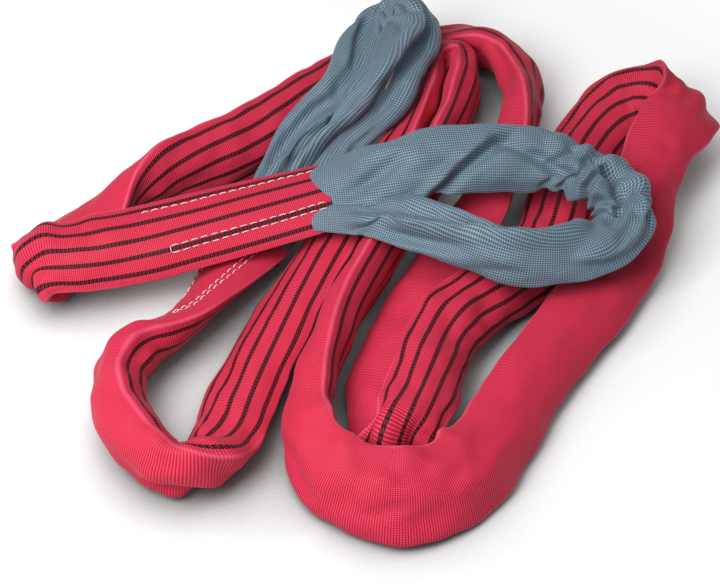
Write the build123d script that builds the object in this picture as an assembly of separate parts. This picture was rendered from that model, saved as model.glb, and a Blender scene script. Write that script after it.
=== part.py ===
# Polyester round sling with two sewn eyes, lying in loose folds on a floor.
# A red woven sleeve holds both legs of one endless yarn hank. At each end a grey woven
# sleeve covers the hank's bight, and its ends are sewn into the red sleeve's mouth.
# Millimetres, +Z up, floor at Z 0, origin under the middle of the bundle.

import os
from math import ceil, cos, floor, hypot, radians, sqrt, tan

from build123d import *

os.makedirs("parts", exist_ok=True)

# driving dimensions
core_leg_diameter = 20.0       # one leg of the endless polyester hank
core_clearance = 0.4           # yarn to the cloth round it
sleeve_width = 84.0            # red sleeve, pressed flat over its two legs
sleeve_wall = 1.2
eye_sleeve_width = 60.0        # grey sleeve, pressed flat over one leg
eye_sleeve_wall = 1.0
cloth_clearance = 0.3          # grey sleeve to red sleeve, and thread to cloth
leg_gap = 3.2                  # between the two grey legs side by side in a throat
arc_share = 0.45               # part of the shorter run that a bend's arc takes
arc_step = 28.0                # degrees of bend from one section to the next
slight_turn = 10.0             # a bend under this many degrees has one section
thread_diameter = 1.2          # white sewing thread
stitch_length = 8.0
stitch_gap = 2.0
front_upper_seam = 185.0       # lengths of the sewing in the two throats
front_lower_seam = 160.0
back_upper_seam = 150.0
back_lower_seam = 150.0
seam_inset = 6.0               # throat's mouth to the seam's first stitch
upper_seam_from_edge = 14.0    # sleeve's folded edge to the single seam
lower_seam_from_edge = 23.0    # other folded edge to the U-shaped seam's nearer row
lower_seam_spacing = 6.0       # between the U-shaped seam's two rows

# sizes that follow
core_radius = core_leg_diameter / 2
eye_tube_radius = core_radius + core_clearance + eye_sleeve_wall
leg_offset = eye_tube_radius + leg_gap / 2
body_reach = core_radius + core_clearance + sleeve_wall
throat_reach = eye_tube_radius + cloth_clearance + sleeve_wall
upper_seam_offset = upper_seam_from_edge - sleeve_width / 2
lower_seam_offset = sleeve_width / 2 - lower_seam_from_edge

# Routes, one row per bend: X, Y, Z, the way the striped face looks, how much narrower
# than flat the sleeve is there, and its puff, which is how far it stands off its legs.
# A sleeve that lies on its edge has a striped face that looks sideways.
sleeve_route = [
    # front throat, raised over the back one, and on to the left
    (-40, 32, 68, (0.00, -0.15, 0.99), 0, 0),
    (-228, -22, 52, (0.00, -0.46, 0.89), 0, 0.5),
    (-285, -33, 51, (-0.10, -0.40, 0.91), 1, 1.5),
    # folded down and under, like a belt
    (-330, -39, 51, (-0.66, -0.25, 0.71), 1, 1.5),
    (-334, -35, 16, (-0.61, -0.35, -0.71), 1, 1.5),
    # long run to the back, turning over as it goes
    (-300, -1, 16, (0.00, 0.05, -1.00), 1, 2),
    (-257, 32, 28, (0.26, -0.57, -0.78), 4, 4),
    (-215, 56, 40, (0.40, -0.91, 0.10), 6, 7),
    (-172, 100, 33, (0.36, -0.78, 0.52), 4, 7),
    (-122, 146, 31, (0.31, -0.72, 0.62), 3, 6),
    (-71, 192, 28, (0.25, -0.66, 0.71), 3, 6),
    (-24, 239, 23, (0.11, -0.53, 0.84), 3, 5),
    (24, 287, 16, (-0.10, -0.10, 0.99), 4, 3.5),
    # back bend, on its edge
    (68, 307, 23, (-0.11, 0.53, 0.84), 5, 5),
    (110, 299, 31, (0.11, 0.84, 0.53), 6, 6),
    (149, 277, 33, (0.63, 0.68, 0.37), 7, 7),
    (167, 215, 37, (0.97, 0.15, 0.20), 7, 7),
    # forward through the middle
    (154, 156, 36, (0.93, -0.21, -0.31), 6, 6),
    (136, 107, 30, (0.76, -0.20, -0.61), 5, 5),
    (114, 57, 22, (0.50, -0.20, -0.84), 4, 4),
    (79, -11, 17, (0.15, -0.20, -0.97), 5, 2.5),
    (40, -92, 16, (0.05, -0.10, -0.99), 5, 2),
    (13, -169, 16, (0.05, -0.10, -0.99), 5, 2),
    (15, -220, 15, (0.00, -0.10, -1.00), 5, 1.5),
    # folded back over itself
    (22, -258, 16, (0.00, -0.71, -0.71), 5, 1.5),
    (29, -253, 49, (0.00, -0.71, 0.71), 5, 1.5),
    (45, -221, 50, (0.05, -0.10, 0.99), 5, 2.5),
    (55, -184, 44, (0.20, -0.10, 0.97), 5, 3),
    (65, -140, 39, (0.35, -0.10, 0.93), 5, 3),
    (85, -97, 36, (0.36, -0.15, 0.92), 5, 3),
    (126, -59, 30, (0.30, -0.41, 0.86), 5, 3),
    (166, -16, 18, (0.00, -0.41, 0.91), 4, 4),
    (189, 33, 18, (-0.20, -0.30, 0.93), 4, 4),
    (203, 89, 18, (-0.20, -0.20, 0.96), 4, 4),
    (223, 149, 17, (-0.10, -0.20, 0.97), 4, 3),
    (250, 191, 16, (-0.05, -0.10, 0.99), 4, 2),
    # folded over at the right and forward on top of itself
    (302, 210, 16, (-0.20, -0.20, 0.95), 2, 1.5),
    (332, 219, 34, (-0.72, -0.65, 0.00), 2, 1.5),
    (320, 188, 52, (-0.20, -0.20, -0.95), 1, 2),
    (304, 126, 51, (0.00, 0.10, -1.00), 0, 3),
    (283, 56, 38, (-0.10, 0.15, -0.98), 0, 5),
    (253, -12, 19, (-0.10, 0.20, -0.98), 0, 5),
    (210, -92, 20, (-0.10, 0.25, -0.96), 0, 5),
    (161, -168, 22, (-0.21, 0.31, -0.93), 1, 6),
    # front loop
    (123, -240, 24, (-0.30, 0.41, -0.86), 2, 7),
    (82, -290, 27, (-0.20, 0.61, -0.76), 2, 7),
    (30, -312, 31, (0.10, 0.75, -0.65), 2, 7),
    (-22, -297, 31, (0.47, 0.62, -0.62), 3, 7),
    (-56, -249, 32, (0.83, 0.21, -0.52), 5, 7),
    (-53, -185, 35, (0.94, -0.15, -0.30), 6, 7),
    (-29, -105, 37, (0.95, -0.30, 0.00), 6, 5.5),
    (2, -36, 36, (0.93, -0.36, 0.10), 6, 5.5),
    (34, 32, 36, (0.93, -0.36, 0.10), 6, 5),
    (68, 108, 36, (0.93, -0.31, 0.21), 6, 4),
    # hairpin at the back, on its edge
    (92, 178, 35, (0.97, -0.10, 0.20), 7, 2.5),
    (109, 255, 34, (0.80, 0.60, 0.10), 8, 1.5),
    (77, 264, 35, (-0.62, 0.78, 0.10), 8, 1.5),
    (59, 207, 33, (-0.93, 0.21, 0.31), 8, 2),
    # forward to the left loop
    (33, 139, 32, (-0.83, 0.31, 0.47), 7, 4),
    (0, 84, 27, (-0.62, 0.31, 0.72), 5, 5),
    (-33, 19, 24, (-0.55, 0.20, 0.81), 5, 5),
    (-69, -55, 22, (-0.45, 0.10, 0.89), 4, 5),
    (-99, -129, 20, (-0.35, 0.00, 0.94), 3, 5),
    (-124, -197, 20, (-0.20, 0.00, 0.98), 3, 5),
    (-133, -240, 21, (-0.10, 0.35, 0.93), 4, 4),
    # left loop
    (-151, -280, 34, (-0.10, 0.85, 0.50), 5, 4),
    (-184, -286, 38, (0.25, 0.93, -0.20), 5, 5),
    (-217, -240, 36, (0.84, 0.50, -0.22), 6, 7),
    (-237, -191, 35, (0.99, 0.11, -0.11), 7, 7),
    (-224, -147, 36, (0.74, -0.64, -0.21), 7, 7),
    # back throat, under the front one
    (-189, -117, 32, (0.54, -0.65, -0.54), 5, 4),
    (-161, -80, 27, (0.53, -0.42, -0.74), 3, 2),
    (-112, 22, 15, (0.02, 0.00, -1.00), 1, 0),
]

# The eyes, in the order in which the hank runs through them. Each starts and ends in its
# throat's mouth, where its two legs lie side by side.
front_eye_route = [
    (-8, 43, 80, (0.00, -0.10, 1.00), 10, 0.6),
    (30, 43, 92, (0.00, -0.20, 0.98), 3, 1.6),
    (71, 54, 93, (0.00, -0.30, 0.95), 1, 1.6),
    (122, 66, 88, (0.00, -0.30, 0.95), 1, 1.6),
    (173, 78, 80, (0.00, -0.30, 0.95), 1, 1.6),
    (221, 71, 73, (0.00, -0.20, 0.98), 1, 3.6),
    (255, 45, 68, (-0.10, 0.00, 1.00), 0, 4.6),
    (258, -4, 66, (-0.30, -0.20, 0.93), 0, 4.6),
    (224, -44, 68, (-0.10, -0.40, 0.91), 1, 2.6),
    (176, -63, 74, (0.00, -0.41, 0.91), 1, 1.6),
    (125, -59, 80, (0.00, -0.41, 0.91), 1, 1.6),
    (74, -45, 88, (0.10, -0.35, 0.93), 1, 1.6),
    (31, -33, 90, (0.05, -0.30, 0.95), 5, 1.6),
    (-3, -6, 85, (0.00, -0.20, 0.98), 10, 0.6),
]
back_eye_route = [
    (-72, 54, 18, (-0.05, 0.00, -1.00), 14, 0.6),
    (-48, 89, 30, (-0.10, 0.20, -0.98), 13, 0.6),
    (-25, 117, 48, (-0.20, 0.50, -0.84), 12, 0.6),
    (6, 135, 68, (-0.30, 0.51, -0.81), 10, 0.6),
    (40, 156, 84, (-0.35, 0.30, -0.89), 9, 0.6),
    (61, 201, 84, (-0.35, 0.20, -0.91), 8, 0.6),
    (68, 244, 84, (-0.30, 0.00, -0.95), 9, 0.6),
    (55, 278, 85, (-0.10, 0.10, -1.00), 10, 1.1),
    (24, 282, 86, (0.10, 0.10, -1.00), 10, 1.1),
    (2, 244, 88, (0.30, 0.10, -0.95), 9, 0.6),
    (-20, 186, 88, (0.30, 0.30, -0.90), 8, 0.6),
    (-46, 141, 76, (0.41, 0.41, -0.82), 10, 0.6),
    (-65, 116, 52, (0.30, 0.51, -0.81), 12, 0.6),
    (-86, 98, 30, (0.10, 0.20, -0.98), 13, 0.6),
    (-101, 68, 18, (0.05, 0.00, -1.00), 14, 0.6),
]
front_sewn_row = 1                        # the front throat's sewing reaches this row
back_sewn_row = len(sleeve_route) - 3     # and the back throat's begins at this one


class Section:
    """A lens-shaped section of a flattened tube, square to its route."""

    def __init__(self, centre, along, face, half_width, half_thickness, place):
        self.centre = centre
        self.along = along
        self.face = (face - along * face.dot(along)).normalized()
        self.across = self.face.cross(along)
        self.half_width = half_width
        self.half_thickness = half_thickness
        self.place = place

    def at(self, x, y):
        """The point this far across and this far towards the striped face."""
        return self.centre + self.across * x + self.face * y

    def arc(self):
        """Radius of the lens's two arcs, and how far past the middle their centres lie."""
        radius = (self.half_width**2 + self.half_thickness**2) / (2 * self.half_thickness)
        return radius, radius - self.half_thickness

    def inset(self, wall):
        radius, sink = self.arc()
        inner_width = sqrt((radius - wall) ** 2 - sink**2)
        thickness = self.half_thickness - wall
        return Section(self.centre, self.along, self.face, inner_width, thickness, self.place)

    def leg(self, side, travel, radius):
        """A round section of the leg on this side of a sleeve, for a tube that runs this way."""
        centre = self.at(side * leg_offset, 0)
        return Section(centre, self.along * travel, self.face, radius, radius, self.place)

    def core(self):
        return Section(self.centre, self.along, self.face, core_radius, core_radius, self.place)

    def surface(self, x, lift):
        """The point at this offset across the sleeve, this far above its striped face."""
        radius, sink = self.arc()
        return self.at(x, sqrt((radius + lift) ** 2 - x**2) - sink)

    def underside(self, x, lift):
        radius, sink = self.arc()
        return self.at(x, sink - sqrt((radius + lift) ** 2 - x**2))

    def edges(self):
        left = self.at(-self.half_width, 0)
        right = self.at(self.half_width, 0)
        crown = Edge.make_three_point_arc(left, self.at(0, self.half_thickness), right)
        belly = Edge.make_three_point_arc(right, self.at(0, -self.half_thickness), left)
        return crown, belly


def lens_half_thickness(half_width, offset, reach):
    """Half thickness of the lens whose arcs pass this far from a leg's centre."""
    sink = sqrt(((half_width**2 - offset**2 - reach**2) / (2 * reach)) ** 2 - offset**2)
    return hypot(half_width, sink) - sink


def sections_along(rows, label):
    """Sections of a route of straight runs joined by tangent arcs."""
    points = [Vector(*row[:3]) for row in rows]
    runs = [after - before for before, after in zip(points, points[1:])]
    turns = [radians(run.get_angle(following)) for run, following in zip(runs, runs[1:])]
    taken = [arc_share * min(run.length, following.length) for run, following in zip(runs, runs[1:])]
    radii = [reach / tan(turn / 2) for reach, turn in zip(taken, turns)]
    path = FilletPolyline(*points, radius=radii)
    print(label, "length", round(path.length), "radii", [round(radius) for radius in radii])

    def section(centre, along, place):
        index = min(floor(place), len(rows) - 2)
        share = place - index
        before, after = rows[index], rows[index + 1]
        face = Vector(*before[3]) * (1 - share) + Vector(*after[3]) * share
        half_width = before[4] * (1 - share) + after[4] * share
        half_thickness = before[5] * (1 - share) + after[5] * share
        return Section(centre, along, face, half_width, half_thickness, place)

    sections = [section(points[0], runs[0].normalized(), 0.0)]
    for index, (turn, reach, radius) in enumerate(zip(turns, taken, radii), start=1):
        run_in = runs[index - 1].normalized()
        run_out = runs[index].normalized()
        inward = (run_out - run_in).normalized()
        start = points[index] - run_in * reach
        middle = points[index] + inward * (radius / cos(turn / 2) - radius)
        end = points[index] + run_out * reach
        arc = ThreePointArc(start, middle, end)
        steps = ceil(turn / radians(arc_step))
        shares = [step / steps for step in range(steps + 1)]
        if turn < radians(slight_turn):
            shares = [0.5]
        for share in shares:
            beside = runs[index - 1] if share < 0.5 else runs[index]
            place = index + (2 * share - 1) * reach / beside.length
            sections.append(section(arc @ share, arc % share, place))
    sections.append(section(points[-1], runs[-1].normalized(), float(len(rows) - 1)))
    return sections


def skin(sections):
    """Faces of the open tube through these sections, ruled from each one to the next."""
    faces = []
    for before, after in zip(sections, sections[1:]):
        for near, far in zip(before.edges(), after.edges()):
            faces.append(Face.make_surface_from_curves(near, far))
    return faces


def woven_sleeve(sections, wall):
    """A hollow sleeve, open at both ends."""
    linings = [section.inset(wall) for section in sections]
    mouths = [Face(Wire(sections[end].edges()), [Wire(linings[end].edges())]) for end in (0, -1)]
    return Solid(Shell(skin(sections) + skin(linings) + mouths))


def eye_sections(route, start, end, label):
    """Sections of the grey sleeve from one leg in the throat's mouth round to the other."""
    first = (*start.centre, tuple(start.face), eye_tube_radius, eye_tube_radius)
    last = (*end.centre, tuple(end.face), eye_tube_radius, eye_tube_radius)
    rows = []
    for x, y, z, face, narrowing, puff in route:
        rows.append((x, y, z, face, eye_sleeve_width / 2 - narrowing, eye_tube_radius + puff))
    return sections_along([first, *rows, last], label)[1:-1]


# red sleeve
sleeve_rows = []
for number, (x, y, z, face, narrowing, puff) in enumerate(sleeve_route):
    half_width = sleeve_width / 2 - narrowing
    sewn = number <= front_sewn_row or number >= back_sewn_row
    reach = throat_reach if sewn else body_reach
    half_thickness = lens_half_thickness(half_width, leg_offset, reach) + puff
    sleeve_rows.append((x, y, z, face, half_width, half_thickness))
sleeve_sections = sections_along(sleeve_rows, "sleeve")
export_step(woven_sleeve(sleeve_sections, sleeve_wall), "parts/body_sleeve.step")

# legs of the hank in the two throats, in the order in which the hank runs through them
front_throat = [section for section in sleeve_sections if section.place <= front_sewn_row]
back_throat = [section for section in sleeve_sections if section.place >= back_sewn_row]
front_in = [section.leg(-1, -1, eye_tube_radius) for section in reversed(front_throat)]
front_out = [section.leg(1, 1, eye_tube_radius) for section in front_throat]
back_in = [section.leg(1, 1, eye_tube_radius) for section in back_throat]
back_out = [section.leg(-1, -1, eye_tube_radius) for section in reversed(back_throat)]

# grey eye sleeves
front_eye = eye_sections(front_eye_route, front_in[-1], front_out[0], "front eye")
back_eye = eye_sections(back_eye_route, back_in[-1], back_out[0], "back eye")
eye_sleeves = {
    "eye_sleeve_front": front_in + front_eye + front_out,
    "eye_sleeve_back": back_in + back_eye + back_out,
}
for name, sections in eye_sleeves.items():
    export_step(woven_sleeve(sections, eye_sleeve_wall), f"parts/{name}.step")

# endless hank: out along one leg, round the back eye, back along the other, round the front eye
right_leg = [section.leg(1, 1, core_radius) for section in sleeve_sections]
left_leg = [section.leg(-1, -1, core_radius) for section in reversed(sleeve_sections)]
back_bight = [right_leg[-1]] + [section.core() for section in back_eye] + [left_leg[0]]
front_bight = [left_leg[-1]] + [section.core() for section in front_eye] + [right_leg[0]]
hank_faces = []
for stretch in (right_leg, back_bight, left_leg, front_bight):
    hank_faces += skin(stretch)
export_step(Solid(Shell(hank_faces)), "parts/core_hank.step")


# white sewing thread
def stitches(throat, offset, underneath, seam_length):
    """Straight stitches laid on a throat's upper cloth, from the mouth inwards."""
    distances = [0.0]
    for before, after in zip(throat, throat[1:]):
        distances.append(distances[-1] + (after.centre - before.centre).length)
    lift = cloth_clearance + thread_diameter / 2

    def laid(distance):
        index = max(i for i, reached in enumerate(distances[:-1]) if reached <= distance)
        share = (distance - distances[index]) / (distances[index + 1] - distances[index])
        pair = throat[index : index + 2]
        before, after = [
            section.underside(offset, lift) if underneath else section.surface(offset, lift)
            for section in pair
        ]
        return before * (1 - share) + after * share

    count = int((seam_length + stitch_gap) / (stitch_length + stitch_gap))
    found = []
    for number in range(count):
        start = laid(seam_inset + number * (stitch_length + stitch_gap))
        end = laid(seam_inset + number * (stitch_length + stitch_gap) + stitch_length)
        found.append(thread(start, end))
    return found, end


def thread(start, end):
    way = end - start
    return Solid.make_cylinder(thread_diameter / 2, way.length, Plane(start, z_dir=way))


throats = {
    "front": (front_throat, False, front_upper_seam, front_lower_seam),
    "back": (back_throat[::-1], True, back_upper_seam, back_lower_seam),
}
for name, (throat, underneath, upper_length, lower_length) in throats.items():
    upper, upper_end = stitches(throat, upper_seam_offset, underneath, upper_length)
    export_step(Compound(children=upper), f"parts/seam_upper_{name}.step")
    near, near_end = stitches(throat, lower_seam_offset, underneath, lower_length)
    far_offset = lower_seam_offset - lower_seam_spacing
    far, far_end = stitches(throat, far_offset, underneath, lower_length)
    inward = (far_end - near_end).normalized() * (thread_diameter / 2 + stitch_gap / 4)
    closing = thread(near_end + inward, far_end - inward)
    export_step(Compound(children=near + far + [closing]), f"parts/seam_lower_{name}.step")
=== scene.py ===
# Polyester round sling with two sewn eyes, dressed: a woven red sleeve simulated as cloth over
# its route, two bunched grey wear sleeves, white lockstitch and a yarn hank inside.
from math import asin, cos, pi, sin

import bmesh
import bpy
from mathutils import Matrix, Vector, noise


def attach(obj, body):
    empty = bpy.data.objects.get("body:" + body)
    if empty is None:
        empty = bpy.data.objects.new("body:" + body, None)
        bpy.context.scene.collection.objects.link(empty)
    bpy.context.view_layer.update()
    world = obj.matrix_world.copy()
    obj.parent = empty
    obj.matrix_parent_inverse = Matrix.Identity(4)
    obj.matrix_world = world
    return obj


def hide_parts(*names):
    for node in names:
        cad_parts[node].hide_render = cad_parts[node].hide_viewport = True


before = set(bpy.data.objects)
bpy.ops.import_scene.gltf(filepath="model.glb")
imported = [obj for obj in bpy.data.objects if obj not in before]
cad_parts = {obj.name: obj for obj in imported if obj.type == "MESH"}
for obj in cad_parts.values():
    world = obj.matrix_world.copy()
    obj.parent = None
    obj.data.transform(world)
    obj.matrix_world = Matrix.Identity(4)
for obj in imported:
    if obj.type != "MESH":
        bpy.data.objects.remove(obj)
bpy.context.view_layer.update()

context = bpy.context
context.scene.view_settings.view_transform = "Standard"


def addObject(name, data):
    thing = bpy.data.objects.new(name, data)
    context.scene.collection.objects.link(thing)
    return thing


def aimAt(thing, place, target):
    thing.location = place
    thing.rotation_euler = (Vector(target) - thing.location).to_track_quat("-Z", "Y").to_euler()


# camera, looking down at the bundle from its front
cameraSetup = {"at": (-0.008, -1.7104, 1.8607), "target": (-0.008, -0.071, 0.040), "lens": 125.6}
cameraData = bpy.data.cameras.new("camera")
cameraData.lens = cameraSetup["lens"]
cameraData.clip_end = 50
camera = addObject("camera", cameraData)
aimAt(camera, cameraSetup["at"], cameraSetup["target"])
context.scene.camera = camera
print("camera placed")

# Routes, one row per bend: X, Y, Z, the way the striped face looks, how much narrower than
# flat the sleeve is there, and its puff.
sleeveRoute = [
    # front throat, raised over the back one, and on to the left
    (-0.040, 0.032, 0.068, (0.00, -0.15, 0.99), 0, 0),
    (-0.228, -0.022, 0.052, (0.00, -0.46, 0.89), 0, 0.0005),
    (-0.285, -0.033, 0.051, (-0.10, -0.40, 0.91), 0.001, 0.0015),
    # folded down and under, like a belt
    (-0.330, -0.039, 0.051, (-0.66, -0.25, 0.71), 0.001, 0.0015),
    (-0.334, -0.035, 0.016, (-0.61, -0.35, -0.71), 0.001, 0.0015),
    # long run to the back, turning over as it goes
    (-0.300, 0.009, 0.018, (0.00, 0.05, -1.00), 0.001, 0.002),
    (-0.259, 0.056, 0.032, (0.26, -0.57, -0.78), 0.003, 0.005),
    (-0.218, 0.085, 0.040, (0.40, -0.91, 0.10), 0.004, 0.008),
    (-0.174, 0.112, 0.035, (0.36, -0.78, 0.52), 0.003, 0.008),
    (-0.122, 0.143, 0.031, (0.31, -0.72, 0.62), 0.002, 0.007),
    (-0.071, 0.192, 0.028, (0.25, -0.66, 0.71), 0.003, 0.006),
    (-0.024, 0.239, 0.023, (0.11, -0.53, 0.84), 0.003, 0.005),
    (0.024, 0.287, 0.016, (-0.10, -0.10, 0.99), 0.004, 0.0035),
    # back bend, on its edge
    (0.068, 0.307, 0.023, (-0.11, 0.53, 0.84), 0.005, 0.005),
    (0.110, 0.299, 0.031, (0.11, 0.84, 0.53), 0.006, 0.006),
    (0.149, 0.277, 0.033, (0.63, 0.68, 0.37), 0.007, 0.007),
    (0.167, 0.215, 0.037, (0.97, 0.15, 0.20), 0.007, 0.007),
    # forward through the middle
    (0.154, 0.156, 0.036, (0.93, -0.21, -0.31), 0.006, 0.006),
    (0.136, 0.107, 0.030, (0.76, -0.20, -0.61), 0.005, 0.005),
    (0.114, 0.057, 0.022, (0.50, -0.20, -0.84), 0.004, 0.004),
    (0.079, -0.011, 0.017, (0.15, -0.20, -0.97), 0.005, 0.0025),
    (0.040, -0.092, 0.016, (0.05, -0.10, -0.99), 0.005, 0.002),
    (0.013, -0.169, 0.016, (0.05, -0.10, -0.99), 0.005, 0.002),
    (0.015, -0.220, 0.015, (0.00, -0.10, -1.00), 0.005, 0.0015),
    # folded back over itself
    (0.022, -0.258, 0.016, (0.00, -0.71, -0.71), 0.005, 0.0015),
    (0.029, -0.253, 0.049, (0.00, -0.71, 0.71), 0.005, 0.0015),
    (0.045, -0.221, 0.050, (0.05, -0.10, 0.99), 0.005, 0.0025),
    (0.055, -0.184, 0.044, (0.20, -0.10, 0.97), 0.005, 0.003),
    (0.065, -0.140, 0.039, (0.35, -0.10, 0.93), 0.005, 0.003),
    (0.085, -0.097, 0.036, (0.36, -0.15, 0.92), 0.005, 0.003),
    (0.126, -0.059, 0.030, (0.30, -0.41, 0.86), 0.005, 0.003),
    (0.166, -0.016, 0.018, (0.00, -0.41, 0.91), 0.004, 0.004),
    (0.189, 0.033, 0.018, (-0.20, -0.30, 0.93), 0.004, 0.004),
    (0.203, 0.089, 0.018, (-0.20, -0.20, 0.96), 0.004, 0.004),
    (0.223, 0.149, 0.017, (-0.10, -0.20, 0.97), 0.004, 0.003),
    (0.250, 0.193, 0.022, (-0.10, -0.35, 0.93), 0.002, 0.004),
    # folded over at the right and forward on top of itself
    (0.276, 0.207, 0.026, (-0.20, -0.40, 0.89), 0.000, 0.005),
    (0.298, 0.208, 0.035, (-0.50, -0.55, 0.66), 0.003, 0.005),
    (0.326, 0.198, 0.045, (-0.80, -0.42, -0.35), 0.002, 0.005),
    (0.331, 0.168, 0.053, (-0.15, -0.05, -0.98), -0.003, 0.004),
    (0.301, 0.128, 0.052, (0.00, 0.15, -0.99), 0.005, 0.003),
    (0.286, 0.086, 0.045, (-0.05, 0.10, -0.99), 0.009, 0.006),
    (0.271, 0.042, 0.034, (-0.10, 0.15, -0.98), 0.003, 0.008),
    (0.253, -0.012, 0.019, (-0.10, 0.20, -0.98), 0, 0.005),
    (0.205, -0.091, 0.020, (-0.10, 0.25, -0.96), 0.003, 0.005),
    (0.154, -0.166, 0.022, (-0.21, 0.31, -0.93), 0.006, 0.006),
    # front loop
    (0.121, -0.239, 0.024, (-0.30, 0.41, -0.86), 0.002, 0.007),
    (0.086, -0.298, 0.031, (-0.20, 0.61, -0.76), -0.004, 0.008),
    (0.030, -0.322, 0.035, (0.10, 0.72, -0.69), -0.006, 0.009),
    (-0.028, -0.304, 0.035, (0.47, 0.60, -0.65), -0.004, 0.009),
    (-0.061, -0.251, 0.034, (0.83, 0.21, -0.52), 0.002, 0.008),
    (-0.053, -0.185, 0.035, (0.94, -0.15, -0.30), 0.006, 0.007),
    (-0.029, -0.105, 0.037, (0.95, -0.30, 0.00), 0.006, 0.0055),
    (0.002, -0.036, 0.036, (0.93, -0.36, 0.10), 0.006, 0.0055),
    (0.034, 0.032, 0.036, (0.93, -0.36, 0.10), 0.006, 0.005),
    (0.068, 0.108, 0.036, (0.93, -0.31, 0.21), 0.006, 0.004),
    # hairpin at the back, on its edge
    (0.092, 0.178, 0.035, (0.97, -0.10, 0.20), 0.007, 0.0025),
    (0.109, 0.255, 0.034, (0.80, 0.60, 0.10), 0.008, 0.0015),
    (0.077, 0.264, 0.035, (-0.62, 0.78, 0.10), 0.008, 0.0015),
    (0.059, 0.207, 0.033, (-0.93, 0.21, 0.31), 0.008, 0.002),
    # forward to the left loop
    (0.033, 0.139, 0.032, (-0.83, 0.31, 0.47), 0.007, 0.004),
    (0.000, 0.084, 0.027, (-0.62, 0.31, 0.72), 0.005, 0.005),
    (-0.033, 0.019, 0.024, (-0.55, 0.20, 0.81), 0.005, 0.005),
    (-0.069, -0.055, 0.022, (-0.45, 0.10, 0.89), 0.004, 0.005),
    (-0.099, -0.129, 0.020, (-0.35, 0.00, 0.94), 0.003, 0.005),
    (-0.124, -0.197, 0.020, (-0.20, 0.00, 0.98), 0.003, 0.005),
    (-0.133, -0.240, 0.021, (-0.10, 0.35, 0.93), 0.004, 0.004),
    # left loop
    (-0.151, -0.282, 0.035, (-0.10, 0.85, 0.50), 0.006, 0.009),
    (-0.186, -0.288, 0.038, (0.25, 0.93, -0.20), 0.006, 0.011),
    (-0.224, -0.243, 0.037, (0.84, 0.50, -0.15), 0.006, 0.013),
    (-0.241, -0.192, 0.037, (0.99, 0.11, -0.05), 0.006, 0.013),
    (-0.226, -0.146, 0.037, (0.74, -0.64, -0.15), 0.006, 0.011),
    # back throat, under the front one
    (-0.189, -0.117, 0.032, (0.54, -0.65, -0.54), 0.005, 0.004),
    (-0.161, -0.080, 0.027, (0.53, -0.42, -0.74), 0.003, 0.002),
    (-0.112, 0.022, 0.015, (0.02, 0.00, -1.00), 0.001, 0),
]
# The eyes, in the order in which the hank runs through them. Each first and last row lies in
# its throat.
frontEyeRoute = [
    (-0.068, 0.039, 0.068, (0.00, -0.15, 0.99), 0.010, -0.0034),
    (-0.010, 0.038, 0.086, (0.00, -0.25, 0.97), -0.006, -0.0025),
    (0.036, 0.045, 0.095, (0.00, -0.45, 0.89), -0.007, -0.001),
    (0.088, 0.058, 0.094, (0.00, -0.60, 0.80), -0.005, 0.001),
    (0.140, 0.065, 0.092, (0.00, -0.66, 0.75), -0.005, 0.002),
    (0.184, 0.063, 0.087, (0.00, -0.60, 0.80), -0.003, 0.003),
    (0.222, 0.050, 0.081, (-0.05, -0.35, 0.94), 0.000, 0.005),
    (0.249, 0.024, 0.076, (-0.15, -0.10, 0.98), 0.000, 0.005),
    (0.257, -0.008, 0.073, (-0.30, -0.25, 0.92), 0.000, 0.004),
    (0.241, -0.037, 0.073, (-0.15, -0.45, 0.88), 0.000, 0.004),
    (0.202, -0.057, 0.076, (0.00, -0.55, 0.83), 0.000, 0.004),
    (0.154, -0.063, 0.080, (0.00, -0.55, 0.83), 0.000, 0.004),
    (0.106, -0.049, 0.084, (0.00, -0.50, 0.86), -0.002, 0.002),
    (0.062, -0.029, 0.082, (0.05, -0.40, 0.91), -0.002, 0.001),
    (0.026, -0.010, 0.077, (0.00, -0.25, 0.97), 0.001, -0.001),
    (-0.006, 0.006, 0.070, (0.00, -0.15, 0.99), 0.004, -0.0025),
    (-0.060, 0.011, 0.064, (0.00, -0.15, 0.99), 0.010, -0.0034),
]
backEyeRoute = [
    (-0.106, -0.007, 0.017, (0.02, 0.00, -1.00), 0.010, -0.0034),
    (-0.080, 0.052, 0.021, (-0.05, 0.05, -1.00), 0.006, -0.0025),
    (-0.056, 0.092, 0.030, (-0.15, 0.20, -0.97), 0.003, -0.0015),
    (-0.034, 0.124, 0.044, (-0.25, 0.35, -0.90), 0.002, -0.001),
    (-0.008, 0.146, 0.060, (-0.30, 0.45, -0.84), 0.001, 0.000),
    (0.014, 0.164, 0.076, (-0.30, 0.45, -0.84), 0.001, 0.000),
    (0.026, 0.190, 0.088, (-0.35, 0.40, -0.85), 0.000, 0.000),
    (0.037, 0.222, 0.092, (-0.40, 0.35, -0.85), 0.001, 0.000),
    (0.051, 0.256, 0.090, (-0.30, 0.20, -0.93), 0.004, 0.001),
    (0.043, 0.285, 0.086, (-0.10, 0.10, -1.00), 0.006, 0.001),
    (0.016, 0.276, 0.082, (0.00, 0.20, -0.98), 0.006, 0.000),
    (0.002, 0.243, 0.081, (-0.15, 0.40, -0.90), -0.001, 0.000),
    (-0.008, 0.210, 0.079, (-0.15, 0.45, -0.88), -0.002, 0.000),
    (-0.023, 0.182, 0.071, (-0.15, 0.45, -0.88), -0.001, -0.001),
    (-0.048, 0.162, 0.056, (-0.05, 0.45, -0.88), 0.003, -0.001),
    (-0.070, 0.140, 0.042, (0.00, 0.40, -0.91), 0.003, -0.0015),
    (-0.088, 0.108, 0.030, (0.05, 0.25, -0.96), 0.004, -0.0015),
    (-0.106, 0.072, 0.021, (0.05, 0.05, -1.00), 0.006, -0.0025),
    (-0.134, 0.005, 0.017, (0.02, 0.00, -1.00), 0.010, -0.0034),
]


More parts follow.
